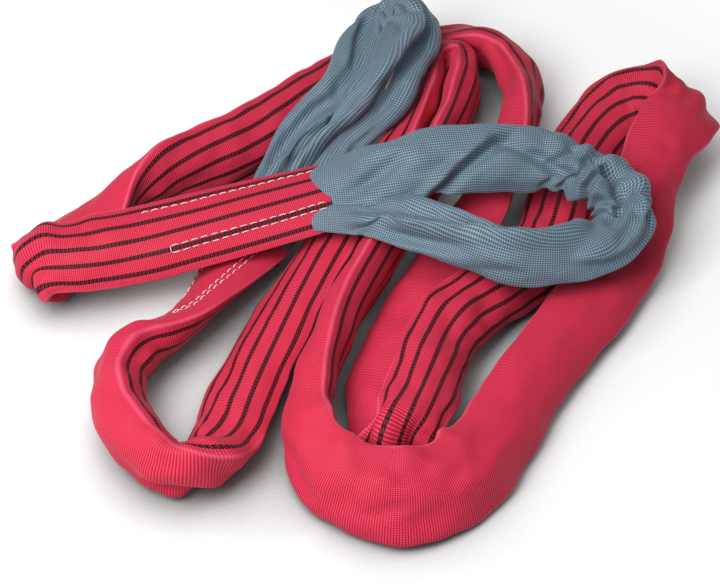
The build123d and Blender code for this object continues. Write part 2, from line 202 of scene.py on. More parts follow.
def srgb(hexColour):
    channels = [int(hexColour[i:i + 2], 16) / 255 for i in (1, 3, 5)]
    linear = [c / 12.92 if c <= 0.04045 else ((c + 0.055) / 1.055) ** 2.4 for c in channels]
    return (*linear, 1)


def addNode(material, kind, settings={}, links={}):
    # one node with its settings, socket values and incoming links
    node = material.node_tree.nodes.new(kind)
    for key, value in settings.items():
        if isinstance(key, int) or key in node.inputs:
            node.inputs[key].default_value = value
        else:
            setattr(node, key, value)
    for key, source in links.items():
        material.node_tree.links.new(source, node.inputs[key])
    return node


def blankMaterial(name):
    material = bpy.data.materials.new(name)
    material.use_nodes = True
    material.node_tree.nodes.clear()
    return material


def smoothLine(points, fineness):
    # the points of the smooth curve that these control points shape
    curve = bpy.data.curves.new("route", "CURVE")
    curve.dimensions = "3D"
    curve.resolution_u = fineness
    spline = curve.splines.new("NURBS")
    spline.points.add(len(points) - 1)
    for point, place in zip(spline.points, points):
        point.co = (*place, 1)
    spline.order_u = 3
    spline.use_endpoint_u = True
    line = bpy.data.objects.new("route", curve)
    mesh = bpy.data.meshes.new_from_object(line)
    found = [vertex.co.copy() for vertex in mesh.vertices]
    bpy.data.objects.remove(line)
    bpy.data.curves.remove(curve)
    bpy.data.meshes.remove(mesh)
    return found


def ringMiddle(ring):
    return sum(ring, Vector()) / len(ring)


def lensPoint(share, halfWidth, halfThickness):
    # a point on a flattened tube's section, from its right edge over the striped face and back
    radius = (halfWidth**2 + halfThickness**2) / (2 * halfThickness)
    sink = radius - halfThickness
    widest = asin(min(1, halfWidth / radius))
    side = 1 if share < 0.5 else -1
    turn = (1 - 4 * (share % 0.5)) * widest
    return side * radius * sin(turn), side * (radius * cos(turn) - sink)


class clothSleeve:
    # a flattened cloth tube carried along a route, with the first hint of its folds
    def __init__(self, route, size):
        self.size = size
        self.columns = size["columns"]
        self.centres = smoothLine([row[:3] for row in route], size["fineness"])
        looks = smoothLine([row[3] for row in route], size["fineness"])
        forms = smoothLine([(row[4], row[5], 0) for row in route], size["fineness"])
        self.reached = [0.0]
        for before, after in zip(self.centres, self.centres[1:]):
            self.reached.append(self.reached[-1] + (after - before).length)
        last = len(self.centres) - 1
        ways = []
        for i in range(last + 1):
            ways.append((self.centres[min(i + 1, last)] - self.centres[max(i - 1, 0)]).normalized())
        self.rings = []
        for i, (centre, along, look, form) in enumerate(zip(self.centres, ways, looks, forms)):
            face = (look - along * look.dot(along)).normalized()
            across = face.cross(along)
            halfWidth = size["width"] / 2 - form.x
            halfThickness = size["thickness"] / 2 + form.y + form.x * size["plumper"]
            before, after = max(i - size["bendReach"], 0), min(i + size["bendReach"], last)
            bend = ways[before].angle(ways[after])
            fold = self.freeAt(i) * (size["foldHeight"] + size["foldAtBends"] * min(1, bend))
            ring = []
            for j in range(self.columns):
                x, y = lensPoint(j / self.columns, halfWidth, halfThickness)
                rise = fold * self.foldAt(i, j) + self.pleatAt(i, j)
                out = across * x + face * y * size["upright"]
                ring.append(centre + across * x + face * y + out.normalized() * rise)
            self.rings.append(ring)

    def foldAt(self, i, j):
        # uneven folds of a limp tube, large ones with smaller ones on them
        turn = 2 * pi * j / self.columns
        around = self.size["girth"] / (2 * pi)
        foldWide = self.size["foldWide"]
        place = Vector((cos(turn) * around / foldWide, sin(turn) * around / foldWide,
                        self.reached[i] / self.size["foldLong"] + self.size["foldShift"]))
        return noise.noise(place) + self.size["smallFolds"] * noise.noise(place * self.size["finer"])

    def pleatAt(self, i, j):
        # cloth bunched up along part of the route, in pleats that run askew round the tube
        pleats = self.size["pleats"]
        if not pleats:
            return 0
        share = (self.reached[i] / self.reached[-1] - pleats["from"]) / (pleats["to"] - pleats["from"])
        if not 0 < share < 1:
            return 0
        alongNoise, roundNoise, shift = pleats["wanderScale"]
        wander = noise.noise(Vector((self.reached[i] * alongNoise, j * roundNoise, pleats["from"] * shift)))
        turn = (self.reached[i] / pleats["spacing"] + pleats["askew"] * j / self.columns
                + pleats["wander"] * wander)
        return pleats["depth"] * sin(pi * share) * (abs(sin(pi * turn)) - pleats["valley"])

    def creaseAt(self, i, j):
        # long creases that wander from one place round the tube to another
        rise = 0
        for begins, ends, start, end, height, wide in self.size["creases"]:
            share = (self.reached[i] / self.reached[-1] - begins) / (ends - begins)
            if 0 < share < 1:
                middle = start * (1 - share) + end * share
                aside = abs((j / self.columns - middle + 0.5) % 1 - 0.5) * self.size["girth"]
                rise += height * sin(pi * share) ** 0.5 * max(0, 1 - aside / wide)
        return rise

    def freeAt(self, i):
        # 0 where the cloth is sewn at its ends, 1 where it is free
        fromEnd = min(self.reached[i], self.reached[-1] - self.reached[i])
        return min(1, max(0, (fromEnd - self.size["sewn"]) / self.size["sewnFade"]))

    def girthAt(self, j):
        # round the cloth, in metres from the middle of the striped face
        return (j / self.columns - 0.25) * self.size["girth"]

    def flatRings(self):
        # the same cloth as it was woven, a straight flat tube with a pressed edge each side
        rings = []
        for reached in self.reached:
            ring = []
            for j in range(self.columns):
                x, y = lensPoint(j / self.columns, self.size["flatWidth"] / 2, self.size["flatThickness"] / 2)
                ring.append(Vector((reached * self.size["slack"], x, y)))
            rings.append(ring)
        return rings


def tubeMesh(name, sleeve):
    mesh = bpy.data.meshes.new(name)
    points = [point for ring in sleeve.rings for point in ring]
    n = sleeve.columns
    faces = []
    for i in range(len(sleeve.rings) - 1):
        for j in range(n):
            k = (j + 1) % n
            faces.append((i * n + j, i * n + k, (i + 1) * n + k, (i + 1) * n + j))
    mesh.from_pydata(points, [], faces)
    cloth = mesh.uv_layers.new(name="cloth")
    corner = 0
    for i in range(len(sleeve.rings) - 1):
        for j in range(n):
            for ring, column in ((i, j), (i, j + 1), (i + 1, j + 1), (i + 1, j)):
                cloth.data[corner].uv = (sleeve.girthAt(column), sleeve.reached[ring])
                corner += 1
    mesh.update()
    return addObject(name, mesh)


def drape(piece, sleeve, cloth):
    # the tube wants to be as long and as wide as it was woven, so it folds where the route bends
    piece.shape_key_add(name="Basis")
    woven = piece.shape_key_add(name="woven")
    flat = [point for ring in sleeve.flatRings() for point in ring]
    for point, place in zip(woven.data, flat):
        point.co = place
    group = piece.vertex_groups.new(name="hold")
    n = sleeve.columns
    for i in range(len(sleeve.rings)):
        hold = 1 - (1 - cloth["hold"]) * sleeve.freeAt(i)
        group.add(list(range(i * n, (i + 1) * n)), hold, "REPLACE")
    modifier = piece.modifiers.new("cloth", "CLOTH")
    settings = modifier.settings
    settings.quality = cloth["quality"]
    settings.mass = cloth["mass"]
    settings.tension_stiffness = cloth["tension"]
    settings.compression_stiffness = cloth["compression"]
    settings.shear_stiffness = cloth["shear"]
    settings.bending_stiffness = cloth["bending"]
    settings.tension_damping = cloth["damping"]
    settings.compression_damping = cloth["damping"]
    settings.shear_damping = cloth["damping"]
    settings.bending_damping = cloth["bendingDamping"]
    settings.air_damping = cloth["airDamping"]
    settings.vertex_group_mass = "hold"
    settings.pin_stiffness = cloth["pin"]
    settings.use_pressure = True
    settings.uniform_pressure_force = cloth["pressure"]
    settings.rest_shape_key = woven
    settings.effector_weights.gravity = 0
    hits = modifier.collision_settings
    hits.use_collision = True
    hits.distance_min = cloth["gap"]
    hits.collision_quality = cloth["hitQuality"]
    hits.use_self_collision = True
    hits.self_distance_min = cloth["selfGap"]
    modifier.point_cache.frame_start = 1
    modifier.point_cache.frame_end = cloth["frames"]
    for moment in range(1, cloth["frames"] + 1):
        context.scene.frame_set(moment)
    shaped = piece.evaluated_get(context.evaluated_depsgraph_get()).to_mesh()
    settled = [vertex.co.copy() for vertex in shaped.vertices]
    piece.modifiers.clear()
    piece.shape_key_clear()
    context.scene.frame_set(1)
    moved = 0
    for vertex, place in zip(piece.data.vertices, settled):
        move = place - vertex.co
        moved = max(moved, move.length)
        if move.length > cloth["reach"]:
            place = vertex.co + move.normalized() * cloth["reach"]
        vertex.co = (place.x, place.y, max(place.z, cloth["lowest"]))
    points = [vertex.co.copy() for vertex in piece.data.vertices]
    sleeve.rings = [points[i * n:(i + 1) * n] for i in range(len(sleeve.rings))]
    piece.data.update()
    print(piece.name, "draped, moved up to", round(moved * 1000, 1), "mm")


def pressCreases(piece, sleeve):
    # handling has pressed sharp creases into the settled cloth
    n = sleeve.columns
    outward = [vertex.normal.copy() for vertex in piece.data.vertices]
    for i, ring in enumerate(sleeve.rings):
        middle = ringMiddle(ring)
        for j in range(n):
            deepest = sleeve.size["deepest"] * (ring[j] - middle).length
            ring[j] = ring[j] + outward[i * n + j] * max(sleeve.creaseAt(i, j), -deepest)
            piece.data.vertices[i * n + j].co = ring[j]
    piece.data.update()


def holdCloth(piece):
    # the cloth settles on this piece and can't pass through it
    piece.modifiers.new("collision", "COLLISION")
    piece.collision.thickness_outer = 0.001


bpy.ops.mesh.primitive_plane_add(size=3, location=(0, 0, 0))
restingFloor = context.object
restingFloor.name = "resting_floor"
holdCloth(restingFloor)

# red woven sleeve over both legs of the hank
redSleeve = {"width": 0.084, "thickness": 0.026, "plumper": 0.125, "girth": 0.184, "flatWidth": 0.0910,
             "flatThickness": 0.012, "columns": 32, "slack": 1.08, "sewn": 0.03, "sewnFade": 0.12,
             "foldHeight": 0.003, "foldAtBends": 0.010, "foldWide": 0.030, "foldLong": 0.040, "foldShift": 0,
             "smallFolds": 0.5, "finer": 2.1, "bendReach": 3,
             "upright": 2,  # folds rise from the faces more than from the edges
             "fineness": 8, "tuck": 0.012, "rounding": 1, "pleats": {}}
redCloth = {"quality": 6, "mass": 0.1, "tension": 30, "compression": 30, "shear": 6, "bending": 1.5,
            "damping": 1, "bendingDamping": 0.5, "airDamping": 1, "pin": 0.6, "pressure": 0.5,
            "hitQuality": 2, "gap": 0.0008, "selfGap": 0.0012, "frames": 24, "reach": 0.018,
            "hold": 0.3, "lowest": 0.0006}
red = clothSleeve(sleeveRoute, redSleeve)
redPiece = tubeMesh("red_sleeve", red)
drape(redPiece, red, redCloth)
print("red sleeve shaped")

# grey wear sleeves over the hank's two bights, longer than the yarn they cover, so they bunch up
greySleeve = {**redSleeve, "width": 0.060, "thickness": 0.0228, "plumper": 0.0, "girth": 0.132,
              "flatWidth": 0.064, "flatThickness": 0.010, "columns": 40, "slack": 1.22, "sewnFade": 0.04,
              "foldHeight": 0.006, "foldAtBends": 0.008, "foldWide": 0.026, "foldLong": 0.060,
              "foldShift": 2, "tuck": 0.004, "rounding": 2,
              "pleats": {"from": 0.33, "to": 0.53, "spacing": 0.025, "askew": 1.6, "depth": 0.015,
                         "valley": 0.6, "wander": 0.6, "wanderScale": (30, 0.25, 9)},
              "deepest": 0.6,  # share of the way to the middle that a crease may sink
              "creases": [  # from, to along the sleeve; start, end round it; height, half width
                  (0.15, 0.285, 0.54, 0.06, 0.009, 0.009),
                  (0.17, 0.315, 0.54, 0.04, -0.010, 0.010),
                  (0.05, 0.17, 0.44, 0.12, -0.007, 0.009),
                  (0.27, 0.41, 0.10, 0.40, -0.009, 0.010),
                  (0.57, 0.95, 0.46, 0.12, 0.016, 0.012),
                  (0.60, 0.93, 0.56, 0.23, -0.017, 0.012),
                  (0.40, 0.56, 0.12, 0.36, -0.013, 0.010),
                  (0.44, 0.62, 0.02, 0.22, 0.012, 0.010)]}
greyCloth = {**redCloth, "quality": 7, "tension": 35, "compression": 35, "bending": 1.6, "pressure": 0.12,
             "frames": 14, "reach": 0.02, "hold": 0.2}
crumpledSleeve = {**greySleeve, "foldHeight": 0.007, "foldWide": 0.022, "foldLong": 0.10, "foldShift": 5,
                  "pleats": {**greySleeve["pleats"], "from": 0.44, "to": 0.58, "spacing": 0.036,
                             "askew": 2.4, "depth": 0.007},
                  "creases": [
                      (0.08, 0.33, 0.58, 0.72, 0.014, 0.012),
                      (0.12, 0.36, 0.66, 0.82, -0.016, 0.012),
                      (0.27, 0.52, 0.60, 0.84, 0.016, 0.011),
                      (0.30, 0.50, 0.70, 0.92, -0.014, 0.012),
                      (0.38, 0.52, 0.02, -0.02, 0.014, 0.014),
                      (0.52, 0.74, 0.90, 0.64, -0.014, 0.011),
                      (0.62, 0.93, 0.60, 0.82, 0.013, 0.011),
                      (0.66, 0.90, 0.72, 0.94, -0.012, 0.010)]}
holdCloth(redPiece)
frontEye = clothSleeve(frontEyeRoute, greySleeve)
backEye = clothSleeve(backEyeRoute, crumpledSleeve)
frontPiece = tubeMesh("grey_sleeve_front", frontEye)
backPiece = tubeMesh("grey_sleeve_back", backEye)
for piece, eye in ((frontPiece, frontEye), (backPiece, backEye)):
    drape(piece, eye, greyCloth)
    pressCreases(piece, eye)
redPiece.modifiers.clear()
bpy.data.objects.remove(restingFloor)
print("grey sleeves shaped")


# how a raw end rolls in: each row's share of the end's width and its way back inside
endRoll = {"rows": ((0.985, -0.0008), (0.94, 0.0), (0.90, 0.004)), "tucked": 0.86, "cap": 0.3,
           "capGirth": 0.06}


def closeEnds(piece, sleeve):
    # each raw end is turned in and runs back inside, out of sight, where it is closed
    n = sleeve.columns
    tuck = sleeve.size["tuck"]
    form = bmesh.new()
    form.from_mesh(piece.data)
    cloth = form.loops.layers.uv["cloth"]
    for end, inner in ((0, 1), (len(sleeve.rings) - 1, len(sleeve.rings) - 2)):
        form.verts.ensure_lookup_table()
        ring = sleeve.rings[end]
        middle = ringMiddle(ring)
        inward = (ringMiddle(sleeve.rings[inner]) - middle).normalized()
        rows = [[form.verts[end * n + j] for j in range(n)]]
        for shrink, back in (*endRoll["rows"], (endRoll["tucked"], tuck), (endRoll["cap"], tuck)):
            places = [middle + (point - middle) * shrink + inward * back for point in ring]
            rows.append([form.verts.new(place) for place in places])
        for before, after in zip(rows, rows[1:]):
            for j in range(n):
                k = (j + 1) % n
                corners = [before[j], before[k], after[k], after[j]]
                face = form.faces.new(corners if end else corners[::-1])
                for loop in face.loops:
                    column = j + 1 if loop.vert in (before[k], after[k]) else j
                    loop[cloth].uv = (sleeve.girthAt(column), sleeve.reached[end])
        cap = form.faces.new(rows[-1] if end else rows[-1][::-1])
        for loop in cap.loops:
            loop[cloth].uv = (endRoll["capGirth"], sleeve.reached[end])
    form.to_mesh(piece.data)
    form.free()


def soften(piece, levels):
    for face in piece.data.polygons:
        face.use_smooth = True
    smooth = piece.modifiers.new("smooth", "SUBSURF")
    smooth.levels = levels
    smooth.render_levels = levels
    bpy.ops.object.select_all(action="DESELECT")
    context.view_layer.objects.active = piece
    piece.select_set(True)
    bpy.ops.object.modifier_apply(modifier="smooth")


for piece, sleeve in ((redPiece, red), (frontPiece, frontEye), (backPiece, backEye)):
    closeEnds(piece, sleeve)
    soften(piece, sleeve.size["rounding"])
print("sleeve ends closed")

oneBand = 0.31416  # the wave texture's scale for one band in a unit of length


def clothInMillimetres(cloth):
    # places on the woven cloth: X round the sleeve, Y along it
    placed = addNode(cloth, "ShaderNodeUVMap", {"uv_map": "cloth"})
    return addNode(cloth, "ShaderNodeVectorMath", {"operation": "SCALE", "Scale": 1000.0},
                   {0: placed.outputs["UV"]})


def finishCloth(cloth, look, colour, patches, bump):
    # unevenly rubbed cloth that glows a little where light grazes it
    rough = addNode(cloth, "ShaderNodeMapRange",
                    {"From Min": 0.3, "From Max": 0.7, "To Min": look["roughness"] - 0.06,
                     "To Max": look["roughness"] + look["roughened"]},
                    {"Value": patches.outputs["Fac"]})
    shader = addNode(cloth, "ShaderNodeBsdfPrincipled",
                     {"Sheen Weight": look["sheen"], "Sheen Roughness": 0.4,
                      "Sheen Tint": srgb(look["glow"]), "Specular IOR Level": look["gloss"]},
                     {"Base Color": colour.outputs[2], "Roughness": rough.outputs[0],
                      "Normal": bump.outputs[0]})
    addNode(cloth, "ShaderNodeOutputMaterial", {}, {"Surface": shader.outputs[0]})


# woven polyester tube, dyed red: a matt face of fine weft ribs, with five pairs of black warp
# threads on one face; lengths in millimetres
redWeave = {"thread": "#ea4d70", "gap": "#b0081e", "worn": "#f4688a", "black": "#0a0405",
            "glow": "#ffb4c4", "rib": 1.9, "warp": 1.6, "stripePitch": 17.5, "stripedHalf": 40.0,
            "rowOffset": 1.15, "rowHalf": 1.2, "bead": 3.8, "beadSlant": 0.8, "edgeAt": 46.0,
            "roughness": 0.6, "roughened": 0.1, "sheen": 0.15, "gloss": 0.15, "bump": 0.00025}


def wovenRed():
    look = redWeave
    cloth = blankMaterial("woven_polyester_red")
    inMillimetres = clothInMillimetres(cloth)
    split = addNode(cloth, "ShaderNodeSeparateXYZ", {}, {0: inMillimetres.outputs[0]})
    girth, length = split.outputs["X"], split.outputs["Y"]
    # weft ribs run round the sleeve, warp threads along it
    ribs = addNode(cloth, "ShaderNodeTexWave",
                   {"bands_direction": "Y", "Scale": oneBand / look["rib"], "Distortion": 0.25,
                    "Detail Scale": 0.3}, {"Vector": inMillimetres.outputs[0]})
    warps = addNode(cloth, "ShaderNodeTexWave",
                    {"bands_direction": "X", "Scale": oneBand / look["warp"], "Distortion": 0.15,
                     "Detail Scale": 0.3}, {"Vector": inMillimetres.outputs[0]})
    weave = addNode(cloth, "ShaderNodeMath", {"operation": "MULTIPLY"},
                    {0: ribs.outputs["Fac"], 1: warps.outputs["Fac"]})
    ribbed = addNode(cloth, "ShaderNodeMath", {"operation": "MULTIPLY_ADD", 1: 0.35},
                     {0: ribs.outputs["Fac"], 2: weave.outputs[0]})
    # unevenness of a limp tube that has been handled
    position = addNode(cloth, "ShaderNodeTexCoord")
    patches = addNode(cloth, "ShaderNodeTexNoise", {"Scale": 16.0, "Detail": 3.0, "Roughness": 0.55},
                      {"Vector": position.outputs["Object"]})
    streaks = addNode(cloth, "ShaderNodeMapping", {"Scale": (0.9, 0.04, 1.0)},
                      {"Vector": inMillimetres.outputs[0]})
    threadTone = addNode(cloth, "ShaderNodeTexNoise", {"Scale": 1.0, "Detail": 2.0},
                         {"Vector": streaks.outputs[0]})
    tone = addNode(cloth, "ShaderNodeMath", {"operation": "MULTIPLY_ADD", 1: 0.35},
                   {0: threadTone.outputs["Fac"], 2: patches.outputs["Fac"]})
    lit = addNode(cloth, "ShaderNodeMapRange",
                  {"From Min": 0.3, "From Max": 1.0, "To Min": 0.78, "To Max": 1.0},
                  {"Value": tone.outputs[0]})
    height = addNode(cloth, "ShaderNodeMath", {"operation": "MULTIPLY", "use_clamp": True},
                     {0: ribbed.outputs[0], 1: lit.outputs[0]})
    dyed = addNode(cloth, "ShaderNodeMix",
                   {"data_type": "RGBA", 6: srgb(look["gap"]), 7: srgb(look["thread"])},
                   {0: height.outputs[0]})
    # the pressed edges are rubbed paler
    fromEdge = addNode(cloth, "ShaderNodeMath", {"operation": "ADD", 1: look["edgeAt"]}, {0: girth})
    edge = addNode(cloth, "ShaderNodeMath", {"operation": "PINGPONG", 1: look["edgeAt"]},
                   {0: fromEdge.outputs[0]})
    rubbed = addNode(cloth, "ShaderNodeMapRange",
                     {"From Min": 0.5, "From Max": 4.0, "To Min": 0.45, "To Max": 0.0},
                     {"Value": edge.outputs[0]})
    worn = addNode(cloth, "ShaderNodeMix", {"data_type": "RGBA", 7: srgb(look["worn"])},
                   {0: rubbed.outputs[0], 6: dyed.outputs[2]})
    # black warp pairs: two rows of slanting floats a half step apart
    fromStripe = addNode(cloth, "ShaderNodeMath",
                         {"operation": "WRAP", 1: look["stripePitch"] / 2, 2: -look["stripePitch"] / 2},
                         {0: girth})
    side = addNode(cloth, "ShaderNodeMath", {"operation": "SIGN"}, {0: fromStripe.outputs[0]})
    fromMiddle = addNode(cloth, "ShaderNodeMath", {"operation": "ABSOLUTE"}, {0: fromStripe.outputs[0]})
    inRow = addNode(cloth, "ShaderNodeMath",
                    {"operation": "COMPARE", 1: look["rowOffset"], 2: look["rowHalf"]},
                    {0: fromMiddle.outputs[0]})
    fromFace = addNode(cloth, "ShaderNodeMath", {"operation": "ABSOLUTE"}, {0: girth})
    onFace = addNode(cloth, "ShaderNodeMath", {"operation": "LESS_THAN", 1: look["stripedHalf"]},
                     {0: fromFace.outputs[0]})
    slant = addNode(cloth, "ShaderNodeMath", {"operation": "MULTIPLY_ADD", 1: look["beadSlant"]},
                    {0: fromStripe.outputs[0], 2: length})
    turned = addNode(cloth, "ShaderNodeMath", {"operation": "MULTIPLY", 1: 2 * pi / look["bead"]},
                     {0: slant.outputs[0]})
    beat = addNode(cloth, "ShaderNodeMath", {"operation": "SINE"}, {0: turned.outputs[0]})
    alternate = addNode(cloth, "ShaderNodeMath", {"operation": "MULTIPLY"},
                        {0: beat.outputs[0], 1: side.outputs[0]})
    floats = addNode(cloth, "ShaderNodeMapRange",
                     {"From Min": -0.9, "From Max": 0.0, "To Min": 0.62, "To Max": 1.0},
                     {"Value": alternate.outputs[0]})
    striped = addNode(cloth, "ShaderNodeMath", {"operation": "MULTIPLY"},
                      {0: inRow.outputs[0], 1: onFace.outputs[0]})
    black = addNode(cloth, "ShaderNodeMath", {"operation": "MULTIPLY"},
                    {0: striped.outputs[0], 1: floats.outputs[0]})
    coloured = addNode(cloth, "ShaderNodeMix", {"data_type": "RGBA", 7: srgb(look["black"])},
                       {0: black.outputs[0], 6: worn.outputs[2]})
    raised = addNode(cloth, "ShaderNodeMath", {"operation": "MULTIPLY_ADD", 1: 0.8},
                     {0: black.outputs[0], 2: ribbed.outputs[0]})
    bump = addNode(cloth, "ShaderNodeBump", {"Strength": 0.3, "Distance": look["bump"]},
                   {"Height": raised.outputs[0]})
    finishCloth(cloth, look, coloured, patches, bump)
    return cloth


# open plain weave of grey polyester yarn, with dark gaps between the threads and a painted highlight on their
# crowns
greyWeave = {"thread": "#678090", "gap": "#2c3a46", "paintedHighlight": "#b6c8d2", "violet": "#67647a",
             "glow": "#dfe8f0", "pitch": 2.2, "roughness": 0.5, "roughened": 0.12, "sheen": 0.15,
             "gloss": 0.35, "bump": 0.0005}


def wovenGrey():
    look = greyWeave
    cloth = blankMaterial("woven_polyester_grey")
    inMillimetres = clothInMillimetres(cloth)
    wefts, warps = [addNode(cloth, "ShaderNodeTexWave",
                            {"bands_direction": way, "Scale": oneBand / look["pitch"], "Distortion": 0.5,
                             "Detail Scale": 0.2}, {"Vector": inMillimetres.outputs[0]})
                    for way in ("Y", "X")]
    threads = addNode(cloth, "ShaderNodeMath", {"operation": "MAXIMUM"},
                      {0: wefts.outputs["Fac"], 1: warps.outputs["Fac"]})
    crossed = addNode(cloth, "ShaderNodeMath", {"operation": "MULTIPLY"},
                      {0: wefts.outputs["Fac"], 1: warps.outputs["Fac"]})
    height = addNode(cloth, "ShaderNodeMath", {"operation": "MULTIPLY_ADD", 1: 0.35, "use_clamp": True},
                     {0: crossed.outputs[0], 2: threads.outputs[0]})
    position = addNode(cloth, "ShaderNodeTexCoord")
    patches = addNode(cloth, "ShaderNodeTexNoise", {"Scale": 22.0, "Detail": 3.0, "Roughness": 0.6},
                      {"Vector": position.outputs["Object"]})
    opened = addNode(cloth, "ShaderNodeMapRange", {"From Min": 0.25, "From Max": 0.95},
                     {"Value": height.outputs[0]})
    yarn = addNode(cloth, "ShaderNodeMix",
                   {"data_type": "RGBA", 6: srgb(look["gap"]), 7: srgb(look["thread"])},
                   {0: opened.outputs[0]})
    # painted highlight: the crown of each thread is painted pale, a glint drawn into the colour
    crown = addNode(cloth, "ShaderNodeMapRange",
                    {"From Min": 0.62, "From Max": 1.0, "To Min": 0.0, "To Max": 0.7},
                    {"Value": crossed.outputs[0]})
    withPaintedHighlight = addNode(cloth, "ShaderNodeMix", {"data_type": "RGBA", 7: srgb(look["paintedHighlight"])},
                       {0: crown.outputs[0], 6: yarn.outputs[2]})
    tinted = addNode(cloth, "ShaderNodeMapRange",
                     {"From Min": 0.5, "From Max": 0.75, "To Min": 0.0, "To Max": 0.45},
                     {"Value": patches.outputs["Fac"]})
    coloured = addNode(cloth, "ShaderNodeMix", {"data_type": "RGBA", 7: srgb(look["violet"])},
                       {0: tinted.outputs[0], 6: withPaintedHighlight.outputs[2]})
    bump = addNode(cloth, "ShaderNodeBump", {"Strength": 0.6, "Distance": look["bump"]},
                   {"Height": height.outputs[0]})
    finishCloth(cloth, look, coloured, patches, bump)
    return cloth


# spun polyester, white: sewing thread and the yarn of the hank, with the twist of its plies
whiteYarn = {"thread": "#f4f0ea", "shade": "#c9c2b8", "threadPly": 0.0009, "hankPly": 0.004,
             "roughness": 0.55, "sheen": 0.2, "gloss": 0.4, "bump": 0.0002}


def spunWhite(name, ply):
    look = whiteYarn
    yarn = blankMaterial(name)
    position = addNode(yarn, "ShaderNodeTexCoord")
    twist = addNode(yarn, "ShaderNodeTexWave",
                    {"bands_direction": "DIAGONAL", "Scale": oneBand / ply, "Distortion": 1.0,
                     "Detail": 2.0}, {"Vector": position.outputs["Object"]})
    soiled = addNode(yarn, "ShaderNodeTexNoise", {"Scale": 60.0, "Detail": 3.0},
                     {"Vector": position.outputs["Object"]})
    mixed = addNode(yarn, "ShaderNodeMath", {"operation": "MULTIPLY_ADD", 1: 0.5},
                    {0: twist.outputs["Fac"], 2: soiled.outputs["Fac"]})
    colour = addNode(yarn, "ShaderNodeMix",
                     {"data_type": "RGBA", 6: srgb(look["shade"]), 7: srgb(look["thread"])},
                     {0: mixed.outputs[0]})
    bump = addNode(yarn, "ShaderNodeBump", {"Strength": 0.4, "Distance": look["bump"]},
                   {"Height": twist.outputs["Fac"]})
    shader = addNode(yarn, "ShaderNodeBsdfPrincipled",
                     {"Roughness": look["roughness"], "Sheen Weight": look["sheen"],
                      "Specular IOR Level": look["gloss"]},
                     {"Base Color": colour.outputs[2], "Normal": bump.outputs[0]})
    addNode(yarn, "ShaderNodeOutputMaterial", {}, {"Surface": shader.outputs[0]})
    return yarn


redPiece.data.materials.append(wovenRed())
greyFinish = wovenGrey()
for piece in (frontPiece, backPiece):
    piece.data.materials.append(greyFinish)
print("cloth finished")


def pieceFrom(form, name):
    # a drawn form becomes a smooth piece of the scene
    bmesh.ops.recalc_face_normals(form, faces=form.faces)
    mesh = bpy.data.meshes.new(name)
    form.to_mesh(mesh)
    form.free()
    for face in mesh.polygons:
        face.use_smooth = True
    return addObject(name, mesh)


# the hank inside: two legs under the red sleeve, one bight in each eye
hankForm = {"radius": 0.0022, "sides": 10, "everyRing": 2, "aside": 0.2, "clear": 5}


def legCentres(sleeve, side):
    # middle of one leg's half of the sleeve, ring by ring
    n = sleeve.columns
    found = []
    for ring in sleeve.rings:
        near = [ring[j] for j in range(n) if cos(2 * pi * j / n) * side > hankForm["aside"]]
        found.append(ringMiddle(near))
    return found


def hankTube(form, line, radius, sides):
    rows = []
    for i, centre in enumerate(line):
        along = (line[(i + 1) % len(line)] - line[i - 1]).normalized()
        right = along.cross(Vector((0, 0, 1))).normalized()
        up = right.cross(along)
        rows.append([form.verts.new(centre + right * radius * cos(2 * pi * k / sides)
                                    + up * radius * sin(2 * pi * k / sides)) for k in range(sides)])
    for before, after in zip(rows, rows[1:] + rows[:1]):
        for k in range(sides):
            form.faces.new((before[k], before[(k + 1) % sides], after[(k + 1) % sides], after[k]))


clear = hankForm["clear"]
loopLine = legCentres(red, 1)
loopLine += [ringMiddle(ring) for ring in backEye.rings[clear:-clear]]
loopLine += legCentres(red, -1)[::-1]
loopLine += [ringMiddle(ring) for ring in frontEye.rings[clear:-clear]]
form = bmesh.new()
hankTube(form, loopLine[::hankForm["everyRing"]], hankForm["radius"], hankForm["sides"])
hank = pieceFrom(form, "yarn_hank")
hank.data.materials.append(spunWhite("polyester_yarn_hank", whiteYarn["hankPly"]))
print("hank laid")

# white lockstitch; dips: how far a stitch stands off the cloth along its length
stitchForm = {"thick": 0.0005, "long": 0.008, "gap": 0.002, "inset": 0.006, "lift": 0.0003,
              "dips": (-0.0008, 0.0001, 0.0006, 0.0006, 0.0001, -0.0008), "sides": 6, "endShare": 0.6,
              "wander": 0.004, "wanderScale": (40, 7.0, 9), "closingBack": 0.001}


def clothAt(sleeve, distance, share):
    # a point on a settled sleeve and the way it faces there
    n = sleeve.columns
    i = max(k for k, reached in enumerate(sleeve.reached[:-1]) if reached <= distance)
    t = (distance - sleeve.reached[i]) / (sleeve.reached[i + 1] - sleeve.reached[i])
    column = share * n
    j = int(column) % n
    s = column - int(column)
    a, b = sleeve.rings[i][j], sleeve.rings[i][(j + 1) % n]
    c, d = sleeve.rings[i + 1][j], sleeve.rings[i + 1][(j + 1) % n]
    point = (a * (1 - s) + b * s) * (1 - t) + (c * (1 - s) + d * s) * t
    return point, (b - a).cross(c - a).normalized()


def addStitch(form, places):
    sides = stitchForm["sides"]
    last = len(places) - 1
    middle = []
    for (point, facing), dip in zip(places, stitchForm["dips"]):
        middle.append(point + facing * (stitchForm["lift"] + dip))
    rows = []
    for i, centre in enumerate(middle):
        along = (middle[min(i + 1, last)] - middle[max(i - 1, 0)]).normalized()
        side = along.cross(places[i][1]).normalized()
        up = side.cross(along)
        thick = stitchForm["thick"] * (stitchForm["endShare"] if i in (0, last) else 1)
        turns = [2 * pi * k / sides for k in range(sides)]
        rows.append([form.verts.new(centre + (side * cos(turn) + up * sin(turn)) * thick) for turn in turns])
    for before, after in zip(rows, rows[1:]):
        for k in range(sides):
            form.faces.new((before[k], before[(k + 1) % sides], after[(k + 1) % sides], after[k]))
    form.faces.new(rows[0][::-1])
    form.faces.new(rows[-1])


